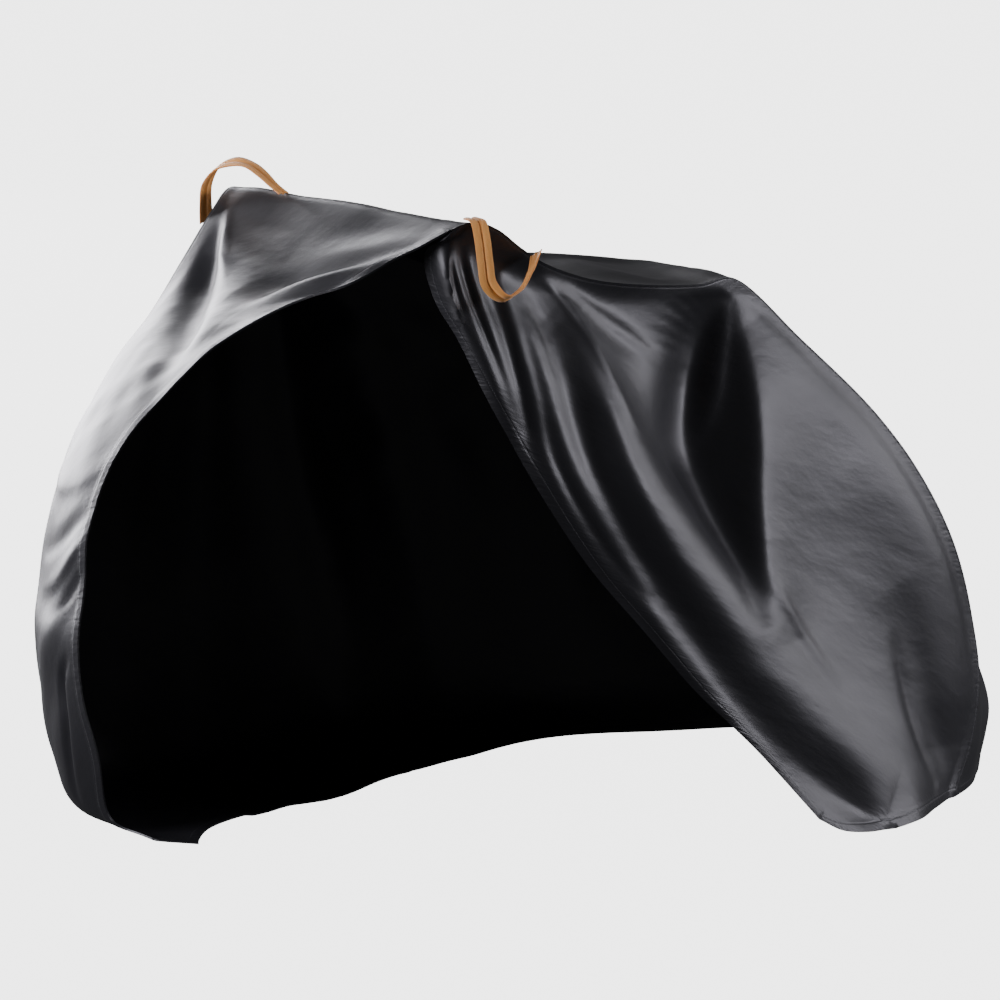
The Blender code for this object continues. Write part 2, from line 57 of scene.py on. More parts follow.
# At a seam each skin is stretched to the plane between its two panels, by no more than 1 / LEAST_LEAN
LEAST_LEAN = 0.6

# Edges sharper than this, in radians, are shaded as edges
SHARP = 0.9

# Farther than any point of a sheet lies from its edge, metres
FAR_OFF = 9.0

# Grid of each panel: rows along the centre panel's three stretches, and columns across it
FRONT_ROWS = 26 * FINE
ROOF_ROWS = 18 * FINE
REAR_ROWS = 26 * FINE
CROSS_COLUMNS = 12 * FINE
WEBBING_STEPS = 160

# Rows or columns over which a fold dies out beside a seam, and the share of the front's rows over which it
# dies out beside the roof
SEAM_HOLD = 1.2 * FINE
ZONE_FADE = 0.12
FOLD_STEPS = 40

# Chance values in each direction before a ripple repeats, and how far from its point a fan still grows
CHANCES = 97
FAN_GROWTH = 0.7

# The tables below measure x and y from a place between the bicycles' wheels; the part's own origin is here
ORIGIN = (0.167, 0.027, 0.0)
INSIDE = np.array((0.15, 0.0, 0.5))
AXES = {"front": (1, 2), "rear": (1, 2), "roof": (0, 1), "near": (0, 2), "far": (0, 2)}

# The centre panel, row by row. near and far are its two edges; belly moves the middle of the row off the
# straight line between them.
Row = namedtuple("Row", "near far belly")
FRONT = (
    Row((-0.545, -0.050, 0.004), (-0.360, 0.120, 0.003), (-0.02, 0.02, 0.000)),
    Row((-0.612, 0.020, 0.005), (-0.520, 0.300, 0.003), (-0.02, 0.00, 0.000)),
    Row((-0.655, 0.085, 0.026), (-0.600, 0.350, 0.030), (-0.03, 0.00, -0.006)),
    Row((-0.700, 0.035, 0.150), (-0.630, 0.385, 0.110), (-0.04, 0.00, 0.000)),
    Row((-0.730, 0.030, 0.262), (-0.652, 0.400, 0.240), (-0.03, 0.00, 0.000)),
    Row((-0.731, 0.030, 0.420), (-0.645, 0.410, 0.400), (-0.03, 0.00, 0.000)),
    Row((-0.710, 0.030, 0.572), (-0.612, 0.420, 0.545), (-0.03, 0.00, 0.010)),
    Row((-0.668, 0.020, 0.685), (-0.556, 0.430, 0.680), (-0.03, 0.00, 0.015)),
    Row((-0.619, 0.000, 0.767), (-0.500, 0.430, 0.775), (-0.02, 0.00, 0.012)),
    Row((-0.504, -0.100, 0.911), (-0.420, 0.430, 0.870), (-0.01, 0.00, 0.008)),
    Row((-0.383, -0.220, 1.001), (-0.352, 0.422, 0.975), (0.01, 0.00, -0.012)),
    Row((-0.275, -0.315, 1.066), (-0.310, 0.405, 1.050), (0.01, 0.00, -0.008)),
    Row((-0.195, -0.360, 1.116), (-0.285, 0.385, 1.094), (0.01, 0.00, 0.006)),
)
ROOF = (
    FRONT[-1],
    Row((-0.155, -0.362, 1.124), (-0.225, 0.395, 1.078), (0.00, 0.00, -0.010)),
    Row((-0.112, -0.358, 1.110), (-0.140, 0.390, 1.045), (0.00, 0.00, -0.022)),
    Row((-0.060, -0.348, 1.072), (-0.040, 0.375, 1.008), (0.00, 0.00, -0.025)),
    Row((-0.004, -0.328, 1.038), (0.060, 0.355, 0.980), (0.00, 0.00, -0.022)),
    Row((0.110, -0.292, 0.996), (0.200, 0.325, 0.956), (0.00, 0.00, -0.016)),
    Row((0.240, -0.268, 0.974), (0.340, 0.300, 0.944), (0.00, 0.00, -0.012)),
    Row((0.340, -0.250, 0.966), (0.450, 0.285, 0.930), (0.00, 0.00, -0.008)),
    Row((0.420, -0.235, 0.968), (0.545, 0.270, 0.912), (0.00, 0.00, 0.004)),
)
REAR = (
    ROOF[-1],
    Row((0.549, -0.235, 0.853), (0.660, 0.270, 0.815), (0.00, 0.00, -0.012)),
    Row((0.712, -0.235, 0.696), (0.800, 0.270, 0.680), (-0.01, 0.00, -0.014)),
    Row((0.785, -0.235, 0.603), (0.880, 0.270, 0.585), (-0.01, 0.00, -0.008)),
    Row((0.866, -0.235, 0.454), (0.960, 0.275, 0.440), (0.01, 0.00, 0.000)),
    Row((0.905, -0.235, 0.313), (1.005, 0.280, 0.300), (0.03, 0.00, 0.000)),
    Row((0.915, -0.245, 0.200), (1.040, 0.290, 0.190), (0.05, 0.00, 0.000)),
    Row((0.890, -0.265, 0.095), (1.060, 0.300, 0.090), (0.09, 0.00, 0.000)),
    Row((0.835, -0.300, 0.004), (1.050, 0.310, 0.004), (0.09, -0.02, 0.000)),
)

# The free hem of the near panel, from the bunch at the handlebar down to the floor
NEAR_FREE_HEM = (
    (-0.195, -0.360, 1.116),
    (-0.232, -0.335, 1.060),
    (-0.222, -0.340, 1.000),
    (-0.186, -0.365, 0.923),
    (-0.150, -0.390, 0.832),
    (-0.107, -0.405, 0.743),
    (-0.057, -0.420, 0.650),
    (0.040, -0.435, 0.505),
    (0.114, -0.440, 0.418),
    (0.221, -0.455, 0.288),
    (0.370, -0.475, 0.136),
    (0.458, -0.490, 0.036),
)
# The near panel's hem along the floor, from there to the rear seam
NEAR_FLOOR_HEM = (
    (0.458, -0.490, 0.036),
    (0.505, -0.492, 0.012),
    (0.560, -0.490, 0.004),
    (0.613, -0.484, 0.004),
    (0.680, -0.448, 0.004),
    (0.760, -0.368, 0.004),
    (0.835, -0.300, 0.004),
)
# The far panel's hem along the floor, from the front seam to the rear seam
FAR_FLOOR_HEM = (
    (-0.360, 0.120, 0.003),
    (-0.184, 0.182, 0.004),
    (-0.007, 0.286, 0.004),
    (0.189, 0.394, 0.004),
    (0.400, 0.452, 0.010),
    (0.620, 0.440, 0.004),
    (0.850, 0.390, 0.004),
    (1.050, 0.310, 0.004),
)
FAR_BELLY = 0.035

# Folds, each drawn by marks down its line. a and z place a mark in the plane of its zone: a is x on the side
# panels and y on the front and rear; on the roof the two are x and y. fore and aft are the fold's half widths
# on the side of lower and of higher a, and depth is how far it stands out (ridge) or sinks in (trough).
Fold = namedtuple("Fold", "zone marks")
Mark = namedtuple("Mark", "a z fore aft depth")
FOLDS = (
    Fold("near", (
        Mark(-0.105, 1.040, 0.022, 0.022, 0.000),
        Mark(-0.066, 0.960, 0.022, 0.024, 0.012),
        Mark(-0.028, 0.800, 0.024, 0.026, 0.016),
        Mark(-0.008, 0.715, 0.025, 0.028, 0.018),
        Mark(0.106, 0.490, 0.026, 0.028, 0.019),
        Mark(0.212, 0.325, 0.026, 0.028, 0.017),
        Mark(0.290, 0.220, 0.026, 0.028, 0.013),
        Mark(0.370, 0.120, 0.024, 0.026, 0.000),
    )),
    Fold("near", (
        Mark(-0.030, 1.030, 0.030, 0.040, 0.000),
        Mark(0.028, 0.950, 0.036, 0.050, 0.020),
        Mark(0.076, 0.790, 0.046, 0.070, 0.040),
        Mark(0.096, 0.700, 0.050, 0.080, 0.048),
        Mark(0.190, 0.520, 0.056, 0.085, 0.052),
        Mark(0.272, 0.430, 0.070, 0.085, 0.044),
        Mark(0.355, 0.310, 0.076, 0.085, 0.034),
        Mark(0.452, 0.200, 0.076, 0.075, 0.022),
        Mark(0.545, 0.110, 0.066, 0.060, 0.010),
        Mark(0.625, 0.045, 0.050, 0.050, 0.000),
    )),
    Fold("near", (
        Mark(0.395, 0.950, 0.030, 0.030, 0.000),
        Mark(0.350, 0.885, 0.060, 0.045, -0.030),
        Mark(0.328, 0.800, 0.085, 0.050, -0.056),
        Mark(0.315, 0.700, 0.095, 0.052, -0.066),
        Mark(0.326, 0.600, 0.070, 0.042, -0.052),
        Mark(0.347, 0.500, 0.048, 0.032, -0.030),
        Mark(0.372, 0.370, 0.034, 0.030, 0.000),
    )),
    Fold("near", (
        Mark(0.420, 0.940, 0.034, 0.060, 0.000),
        Mark(0.428, 0.840, 0.032, 0.090, 0.016),
        Mark(0.422, 0.713, 0.030, 0.110, 0.024),
        Mark(0.404, 0.584, 0.030, 0.110, 0.022),
        Mark(0.402, 0.455, 0.034, 0.100, 0.014),
        Mark(0.420, 0.340, 0.040, 0.080, 0.000),
    )),
    Fold("near", (
        Mark(0.460, 0.900, 0.100, 0.045, 0.000),
        Mark(0.520, 0.790, 0.120, 0.050, 0.014),
        Mark(0.640, 0.660, 0.130, 0.060, 0.020),
        Mark(0.715, 0.560, 0.140, 0.065, 0.022),
        Mark(0.790, 0.430, 0.140, 0.065, 0.022),
        Mark(0.825, 0.310, 0.120, 0.060, 0.018),
        Mark(0.835, 0.200, 0.100, 0.055, 0.010),
        Mark(0.830, 0.100, 0.090, 0.050, 0.000),
    )),
    Fold("near", (
        Mark(0.700, 0.400, 0.050, 0.040, 0.000),
        Mark(0.735, 0.300, 0.050, 0.040, -0.008),
        Mark(0.762, 0.200, 0.050, 0.040, -0.013),
        Mark(0.795, 0.110, 0.046, 0.036, -0.013),
        Mark(0.825, 0.040, 0.042, 0.034, -0.006),
    )),
    Fold("front", (
        Mark(0.376, 1.086, 0.040, 0.016, 0.000),
        Mark(0.341, 1.053, 0.060, 0.018, 0.010),
        Mark(0.296, 1.015, 0.090, 0.022, 0.018),
        Mark(0.236, 0.980, 0.110, 0.028, 0.020),
        Mark(0.137, 0.952, 0.110, 0.034, 0.016),
        Mark(-0.025, 0.936, 0.080, 0.040, 0.000),
    )),
    Fold("front", (
        Mark(0.368, 1.050, 0.016, 0.020, 0.000),
        Mark(0.336, 0.984, 0.028, 0.036, -0.014),
        Mark(0.261, 0.927, 0.034, 0.040, -0.026),
        Mark(0.180, 0.904, 0.032, 0.040, -0.032),
        Mark(0.092, 0.884, 0.032, 0.040, -0.028),
        Mark(0.017, 0.848, 0.034, 0.044, -0.016),
        Mark(-0.060, 0.810, 0.034, 0.045, -0.004),
    )),
    Fold("front", (
        Mark(-0.020, 0.415, 0.060, 0.045, 0.000),
        Mark(0.060, 0.375, 0.065, 0.045, 0.007),
        Mark(0.200, 0.355, 0.070, 0.045, 0.009),
        Mark(0.340, 0.365, 0.065, 0.045, 0.005),
        Mark(0.420, 0.390, 0.060, 0.045, 0.000),
    )),
    Fold("roof", (
        Mark(-0.080, -0.300, 0.040, 0.040, 0.000),
        Mark(-0.020, -0.120, 0.050, 0.045, -0.016),
        Mark(0.010, 0.100, 0.055, 0.050, -0.020),
        Mark(-0.060, 0.300, 0.045, 0.040, 0.000),
    )),
    Fold("roof", (
        Mark(0.330, -0.170, 0.050, 0.050, 0.000),
        Mark(0.270, -0.020, 0.050, 0.060, 0.014),
        Mark(0.300, 0.160, 0.050, 0.060, 0.012),
        Mark(0.380, 0.240, 0.050, 0.050, 0.000),
    )),
    Fold("rear", (
        Mark(-0.130, 0.900, 0.040, 0.040, 0.000),
        Mark(-0.110, 0.750, 0.044, 0.050, -0.018),
        Mark(-0.120, 0.500, 0.046, 0.055, -0.024),
        Mark(-0.140, 0.250, 0.046, 0.055, -0.020),
        Mark(-0.160, 0.060, 0.045, 0.050, -0.008),
    )),
    Fold("rear", (
        Mark(0.150, 0.880, 0.045, 0.045, 0.000),
        Mark(0.100, 0.700, 0.050, 0.050, 0.016),
        Mark(0.040, 0.450, 0.055, 0.050, 0.024),
        Mark(0.020, 0.200, 0.055, 0.050, 0.020),
        Mark(0.010, 0.050, 0.055, 0.050, 0.008),
    )),
    Fold("far", (
        Mark(-0.190, 1.020, 0.040, 0.040, 0.000),
        Mark(-0.170, 0.900, 0.040, 0.055, -0.018),
        Mark(-0.130, 0.650, 0.045, 0.065, -0.034),
        Mark(-0.050, 0.350, 0.050, 0.065, -0.034),
        Mark(0.020, 0.080, 0.050, 0.060, -0.016),
    )),
    Fold("far", (
        Mark(-0.060, 0.980, 0.050, 0.050, 0.000),
        Mark(0.000, 0.820, 0.060, 0.060, 0.020),
        Mark(0.090, 0.560, 0.070, 0.065, 0.032),
        Mark(0.160, 0.280, 0.070, 0.065, 0.024),
        Mark(0.200, 0.060, 0.060, 0.060, 0.008),
    )),
    Fold("far", (
        Mark(0.440, 0.900, 0.050, 0.045, 0.000),
        Mark(0.400, 0.740, 0.075, 0.055, -0.036),
        Mark(0.400, 0.540, 0.075, 0.060, -0.040),
        Mark(0.450, 0.300, 0.060, 0.055, -0.022),
        Mark(0.480, 0.100, 0.050, 0.050, 0.000),
    )),
    Fold("far", (
        Mark(0.600, 0.800, 0.045, 0.050, 0.000),
        Mark(0.640, 0.620, 0.050, 0.065, 0.018),
        Mark(0.700, 0.380, 0.055, 0.070, 0.024),
        Mark(0.760, 0.120, 0.055, 0.060, 0.012),
    )),
)

# Fine creases, drawn like the folds but too narrow for the solid
CREASES = (
    Fold("near", (
        Mark(-0.205, 1.100, 0.020, 0.018, 0.000),
        Mark(-0.234, 1.062, 0.030, 0.022, -0.040),
        Mark(-0.226, 0.998, 0.030, 0.020, -0.040),
        Mark(-0.192, 0.922, 0.030, 0.014, -0.022),
        Mark(-0.156, 0.832, 0.026, 0.012, -0.010),
        Mark(-0.112, 0.742, 0.022, 0.012, 0.000),
    )),
    Fold("near", (
        Mark(-0.100, 1.040, 0.012, 0.014, 0.000),
        Mark(-0.092, 0.980, 0.012, 0.014, 0.006),
        Mark(-0.062, 0.800, 0.013, 0.015, 0.009),
        Mark(-0.050, 0.725, 0.013, 0.015, 0.009),
        Mark(0.050, 0.520, 0.013, 0.016, 0.008),
        Mark(0.145, 0.398, 0.013, 0.016, 0.006),
        Mark(0.210, 0.300, 0.012, 0.014, 0.000),
    )),
    Fold("near", (
        Mark(-0.196, 1.092, 0.008, 0.008, 0.000),
        Mark(-0.202, 1.050, 0.009, 0.008, 0.014),
        Mark(-0.194, 0.990, 0.009, 0.008, 0.014),
        Mark(-0.172, 0.925, 0.009, 0.009, 0.008),
        Mark(-0.146, 0.860, 0.009, 0.010, 0.000),
    )),
    Fold("near", (
        Mark(-0.190, 1.095, 0.008, 0.010, 0.000),
        Mark(-0.186, 1.050, 0.009, 0.010, 0.010),
        Mark(-0.172, 0.985, 0.010, 0.012, 0.012),
        Mark(-0.148, 0.900, 0.010, 0.012, 0.008),
        Mark(-0.118, 0.800, 0.012, 0.014, 0.004),
        Mark(-0.090, 0.730, 0.012, 0.014, 0.000),
    )),
    Fold("near", (
        Mark(-0.160, 1.085, 0.010, 0.010, 0.000),
        Mark(-0.152, 1.030, 0.010, 0.012, 0.010),
        Mark(-0.136, 0.960, 0.012, 0.014, 0.011),
        Mark(-0.110, 0.860, 0.012, 0.014, 0.007),
        Mark(-0.080, 0.760, 0.012, 0.014, 0.000),
    )),
    Fold("near", (
        Mark(-0.010, 1.034, 0.010, 0.014, 0.000),
        Mark(0.026, 0.968, 0.010, 0.016, 0.005),
        Mark(0.052, 0.908, 0.010, 0.018, 0.006),
        Mark(0.090, 0.806, 0.010, 0.018, 0.005),
        Mark(0.135, 0.725, 0.010, 0.016, 0.000),
    )),
    Fold("near", (
        Mark(0.010, 1.025, 0.014, 0.010, 0.000),
        Mark(0.090, 0.955, 0.014, 0.010, 0.004),
        Mark(0.203, 0.874, 0.016, 0.012, 0.005),
        Mark(0.240, 0.845, 0.016, 0.012, 0.000),
    )),
    Fold("near", (
        Mark(0.398, 0.935, 0.012, 0.010, 0.000),
        Mark(0.386, 0.870, 0.018, 0.012, 0.007),
        Mark(0.362, 0.775, 0.022, 0.014, 0.010),
        Mark(0.325, 0.685, 0.020, 0.014, 0.000),
    )),
    Fold("near", (
        Mark(0.390, 0.460, 0.012, 0.014, 0.000),
        Mark(0.420, 0.415, 0.012, 0.014, 0.004),
        Mark(0.480, 0.330, 0.012, 0.014, 0.004),
        Mark(0.545, 0.250, 0.012, 0.014, 0.000),
    )),
    Fold("near", (
        Mark(0.300, 0.270, 0.030, 0.050, 0.000),
        Mark(0.420, 0.150, 0.030, 0.050, -0.010),
        Mark(0.500, 0.085, 0.032, 0.055, -0.018),
        Mark(0.550, 0.050, 0.032, 0.055, -0.018),
        Mark(0.600, 0.020, 0.030, 0.050, -0.012),
    )),
    Fold("near", (
        Mark(0.690, 0.330, 0.016, 0.014, 0.000),
        Mark(0.712, 0.240, 0.018, 0.014, -0.006),
        Mark(0.738, 0.138, 0.018, 0.014, -0.007),
        Mark(0.770, 0.050, 0.016, 0.014, -0.003),
    )),
    Fold("front", (
        Mark(0.376, 1.086, 0.010, 0.010, 0.000),
        Mark(0.341, 1.053, 0.012, 0.010, 0.004),
        Mark(0.296, 1.015, 0.012, 0.012, 0.005),
        Mark(0.236, 0.980, 0.014, 0.012, 0.004),
        Mark(0.160, 0.957, 0.014, 0.012, 0.000),
    )),
    Fold("front", (
        Mark(-0.345, 1.094, 0.010, 0.010, 0.000),
        Mark(-0.300, 1.076, 0.010, 0.012, -0.008),
        Mark(-0.200, 1.046, 0.012, 0.014, -0.012),
        Mark(-0.080, 1.004, 0.014, 0.016, -0.011),
        Mark(0.040, 0.962, 0.016, 0.018, -0.004),
        Mark(0.080, 0.945, 0.016, 0.018, 0.000),
    )),
    Fold("front", (
        Mark(-0.345, 1.086, 0.008, 0.008, 0.000),
        Mark(-0.300, 1.062, 0.010, 0.010, 0.009),
        Mark(-0.200, 1.024, 0.012, 0.012, 0.013),
        Mark(-0.080, 0.978, 0.014, 0.014, 0.010),
        Mark(0.010, 0.947, 0.016, 0.016, 0.000),
    )),
    Fold("front", (
        Mark(-0.350, 1.076, 0.008, 0.008, 0.000),
        Mark(-0.290, 1.043, 0.010, 0.010, -0.009),
        Mark(-0.200, 1.003, 0.010, 0.012, -0.010),
        Mark(-0.100, 0.962, 0.012, 0.014, -0.006),
        Mark(-0.030, 0.935, 0.012, 0.014, 0.000),
    )),
    Fold("front", (
        Mark(-0.345, 1.104, 0.012, 0.012, 0.000),
        Mark(-0.250, 1.084, 0.014, 0.016, 0.009),
        Mark(-0.120, 1.050, 0.018, 0.022, 0.010),
        Mark(0.040, 1.015, 0.020, 0.026, 0.000),
    )),
    Fold("front", (
        Mark(-0.320, 1.108, 0.010, 0.012, 0.000),
        Mark(-0.230, 1.102, 0.012, 0.014, -0.005),
        Mark(-0.080, 1.080, 0.014, 0.018, -0.006),
        Mark(0.060, 1.062, 0.014, 0.018, 0.000),
    )),
    Fold("front", (
        Mark(0.100, 0.888, 0.020, 0.026, 0.000),
        Mark(0.030, 0.854, 0.030, 0.040, 0.010),
        Mark(-0.050, 0.814, 0.030, 0.040, 0.004),
    )),
    Fold("front", (
        Mark(0.000, 0.700, 0.014, 0.020, 0.000),
        Mark(0.100, 0.640, 0.015, 0.026, 0.003),
        Mark(0.220, 0.610, 0.016, 0.030, 0.004),
        Mark(0.400, 0.640, 0.016, 0.020, 0.000),
    )),
    Fold("front", (
        Mark(0.020, 0.610, 0.012, 0.016, 0.000),
        Mark(0.080, 0.570, 0.013, 0.020, -0.004),
        Mark(0.170, 0.515, 0.014, 0.024, -0.004),
        Mark(0.330, 0.470, 0.014, 0.018, 0.000),
    )),
    Fold("front", (
        Mark(0.025, 0.560, 0.010, 0.014, 0.000),
        Mark(0.070, 0.520, 0.012, 0.018, 0.005),
        Mark(0.150, 0.455, 0.014, 0.022, 0.004),
        Mark(0.280, 0.415, 0.014, 0.018, 0.000),
    )),
    Fold("front", (
        Mark(0.030, 0.500, 0.010, 0.012, 0.000),
        Mark(0.060, 0.465, 0.012, 0.014, -0.004),
        Mark(0.110, 0.415, 0.012, 0.014, -0.003),
        Mark(0.170, 0.385, 0.012, 0.014, 0.000),
    )),
    Fold("front", (
        Mark(0.060, 0.340, 0.010, 0.010, 0.000),
        Mark(0.105, 0.290, 0.012, 0.010, -0.008),
        Mark(0.120, 0.200, 0.012, 0.010, -0.010),
        Mark(0.150, 0.100, 0.012, 0.012, -0.005),
        Mark(0.170, 0.040, 0.012, 0.012, 0.000),
    )),
    Fold("roof", (
        Mark(-0.186, -0.345, 0.008, 0.008, 0.000),
        Mark(-0.170, -0.300, 0.010, 0.010, 0.008),
        Mark(-0.140, -0.220, 0.012, 0.014, 0.008),
        Mark(-0.100, -0.120, 0.014, 0.016, 0.000),
    )),
    Fold("roof", (
        Mark(-0.160, -0.348, 0.008, 0.008, 0.000),
        Mark(-0.130, -0.305, 0.010, 0.010, -0.009),
        Mark(-0.085, -0.240, 0.012, 0.014, -0.007),
        Mark(-0.030, -0.160, 0.014, 0.016, 0.000),
    )),
)

# Wrinkles that run out from where the cloth hangs. a and z place that point in the plane of the zone, turn is
# the angle from one wrinkle to the next in radians, reach is how long each keeps its size, and height is how
# high it is one metre away.
Fan = namedtuple("Fan", "zone a z turn reach height seed")
FANS = (
    Fan("near", -0.110, 1.120, 0.110, 0.60, 0.0035, 3),
    Fan("near", 0.420, 0.985, 0.160, 0.60, 0.0020, 8),
    Fan("far", -0.285, 1.110, 0.100, 0.55, 0.0075, 15),
    Fan("far", 0.545, 0.930, 0.130, 0.60, 0.0080, 16),
    Fan("front", -0.370, 1.130, 0.060, 0.60, 0.0045, 21),
    Fan("front", 0.390, 1.110, 0.110, 0.60, 0.0028, 27),
    Fan("rear", 0.000, 1.200, 0.085, 0.55, 0.0050, 33),
    Fan("roof", -0.195, -0.380, 0.180, 0.45, 0.0060, 38),
)
# Soft unevenness of the whole cloth: the size of its swells and their height
Swell = namedtuple("Swell", "size height seed")
SWELLS = (Swell(0.170, 0.0028, 51), Swell(0.060, 0.0005, 52))

# The webbing loops. at is the middle of the webbing and broad points across its width.
Turn = namedtuple("Turn", "at broad")
LOOPS = {
    "far_loop": (
        Turn((-0.304, 0.4400, 1.028), (0.9, 0.1, 0.1)),
        Turn((-0.313, 0.4240, 1.061), (0.9, 0.3, 0.1)),
        Turn((-0.318, 0.4050, 1.103), (0.9, 0.4, 0.1)),
        Turn((-0.311, 0.3800, 1.132), (0.8, 0.5, 0.3)),
        Turn((-0.298, 0.3400, 1.149), (0.8, 0.2, 0.5)),
        Turn((-0.283, 0.2900, 1.148), (1.0, 0.2, 0.1)),
        Turn((-0.276, 0.2550, 1.136), (0.8, 0.5, 0.1)),
        Turn((-0.268, 0.2250, 1.120), (0.7, 0.7, 0.1)),
        Turn((-0.258, 0.2050, 1.1075), (0.7, 0.7, 0.1)),
    ),
    "near_loop": (
        Turn((-0.150, -0.3350, 1.1290), (1.0, -0.2, 0.0)),
        Turn((-0.152, -0.3700, 1.1270), (1.0, -0.3, 0.0)),
        Turn((-0.156, -0.3950, 1.0980), (0.9, -0.4, 0.0)),
        Turn((-0.157, -0.4080, 1.0610), (0.9, -0.4, 0.0)),
        Turn((-0.152, -0.4150, 1.0220), (0.8, -0.5, 0.2)),
        Turn((-0.126, -0.4200, 0.9980), (0.1, -0.8, 0.5)),
        Turn((-0.095, -0.4140, 1.0090), (-0.3, -0.9, 0.1)),
        Turn((-0.063, -0.3950, 1.0380), (-0.3, -0.9, 0.0)),
        Turn((-0.036, -0.3620, 1.0640), (-0.1, -0.9, 0.0)),
    ),
}


def smooth(knots, values, where):
    """A smooth curve through values at knots, read at where, with no overshoot between unequal knots."""
    knots = np.asarray(knots, float)
    values = np.asarray(values, float)
    where = np.asarray(where, float)
    step = np.diff(knots)
    slope = np.diff(values, axis=0) / step[:, None]
    tangent = np.vstack((slope[:1], slope[-1:]))
    if len(step) > 1:
        before, after = step[:-1, None], step[1:, None]
        inner = (slope[:-1] * after + slope[1:] * before) / (before + after)
        tangent = np.vstack((slope[:1], inner, slope[-1:]))
    index = np.clip(np.searchsorted(knots, where, side="right") - 1, 0, len(step) - 1)
    length = step[index][:, None]
    u = (where - knots[index])[:, None] / length
    return (
        values[index] * (1 + 2 * u) * (1 - u) ** 2
        + values[index + 1] * u**2 * (3 - 2 * u)
        + tangent[index] * length * u * (1 - u) ** 2
        - tangent[index + 1] * length * u**2 * (1 - u)
    )


def along(points, count):
    """count + 1 places along the smooth curve through points, spaced by its length."""
    points = np.asarray(points, float)
    knots = np.concatenate(((0,), np.cumsum(np.linalg.norm(np.diff(points, axis=0), axis=1))))
    fine = smooth(knots, points, np.linspace(0, knots[-1], 40 * len(points)))
    run = np.concatenate(((0,), np.cumsum(np.linalg.norm(np.diff(fine, axis=0), axis=1))))
    even = np.linspace(0, run[-1], count + 1)
    return np.column_stack([np.interp(even, run, fine[:, axis]) for axis in range(3)])


def centre_rows():
    """near, far and belly of every row of the centre panel, front hem to rear hem."""
    stretches = ((FRONT, FRONT_ROWS), (ROOF, ROOF_ROWS), (REAR, REAR_ROWS))
    knots, table = [0.0], [np.ravel(FRONT[0])]
    for index, (rows, _) in enumerate(stretches):
        edges = np.array([np.ravel((row.near, row.far)) for row in rows])
        gap = np.linalg.norm(np.diff(edges, axis=0), axis=1)
        run = np.cumsum(gap) / gap.sum()
        knots += list(index + run)
        table += [np.ravel(row) for row in rows[1:]]
    where = [index + np.arange(count) / count for index, (_, count) in enumerate(stretches)]
    rows = smooth(knots, np.array(table), np.concatenate(where + [np.array((3.0,))]))
    return rows[:, 0:3], rows[:, 3:6], rows[:, 6:9]


def centre_grid():
    near, far, belly = centre_rows()
    c = np.linspace(0, 1, CROSS_COLUMNS + 1)[None, :, None]
    return near[:, None] * (1 - c) + far[:, None] * c + belly[:, None] * 4 * c * (1 - c)


def coons(top, bottom, left, right):
    """The surface that spans four edges: top and bottom run across, left and right run down."""
    s = np.linspace(0, 1, len(top))[None, :, None]
    t = np.linspace(0, 1, len(left))[:, None, None]
    across = top[None] * (1 - t) + bottom[None] * t
    down = left[:, None] * (1 - s) + right[:, None] * s
    corners = (top[0] * (1 - s) + top[-1] * s) * (1 - t) + (bottom[0] * (1 - s) + bottom[-1] * s) * t
    return across + down - corners


def near_grid(centre):
    top = centre[FRONT_ROWS : FRONT_ROWS + ROOF_ROWS + 1, 0]
    right = centre[FRONT_ROWS + ROOF_ROWS :, 0]
    return coons(top, along(NEAR_FLOOR_HEM, ROOF_ROWS), along(NEAR_FREE_HEM, REAR_ROWS), right)


def far_grid(centre):
    top = centre[FRONT_ROWS : FRONT_ROWS + ROOF_ROWS + 1, -1]
    left = centre[FRONT_ROWS::-1, -1]
    right = centre[FRONT_ROWS + ROOF_ROWS :, -1]
    grid = coons(top, along(FAR_FLOOR_HEM, ROOF_ROWS), left, right)
    s = np.linspace(0, 1, ROOF_ROWS + 1)[None, :]
    t = np.linspace(0, 1, REAR_ROWS + 1)[:, None]
    grid[..., 1] += FAR_BELLY * np.sin(np.pi * s) * np.sin(np.pi * t)
    return grid


def normals_of(grid):
    """Unit normals of a grid of points, facing away from the inside of the cover."""
    down, across = np.gradient(grid, axis=(0, 1))
    normal = np.cross(down, across)
    normal /= np.maximum(np.linalg.norm(normal, axis=2, keepdims=True), 1e-9)
    facing = np.sum(normal * (grid - INSIDE), axis=2).mean()
    return normal if facing > 0 else -normal


def fold_offsets(grid, zone):
    """How far each point of the grid moves out along its normal, for all the folds of its zone."""
    flat = grid[..., AXES[zone]]
    total = np.zeros(grid.shape[:2])
    for fold in FOLDS + CREASES:
        if fold.zone == zone:
            total += fold_offset(flat, np.array(fold.marks, float))
    for fan in FANS:
        if fan.zone == zone:
            away = flat - (fan.a, fan.z)
            far = np.linalg.norm(away, axis=2)
            angle = np.arctan2(away[..., 0], -away[..., 1])
            height = fan.height * np.minimum(far, FAN_GROWTH)
            total += height * ripple(angle / fan.turn, far / fan.reach, fan.seed)
    return total


def eased(share):
    """A share from 0 to 1 that starts and ends level."""
    return share * share * (3 - 2 * share)


def ripple(u, v, seed):
    """Smooth random heights from -1 to 1, one chance value at each whole u and v."""
    chance = np.random.RandomState(seed).uniform(-1, 1, (CHANCES, CHANCES))
    whole_u, whole_v = np.floor(u).astype(int), np.floor(v).astype(int)
    part_u, part_v = eased(u - whole_u), eased(v - whole_v)

    def across(row):
        here = chance[row % CHANCES, whole_v % CHANCES]
        beyond = chance[row % CHANCES, (whole_v + 1) % CHANCES]
        return here * (1 - part_v) + beyond * part_v

    return across(whole_u) * (1 - part_u) + across(whole_u + 1) * part_u


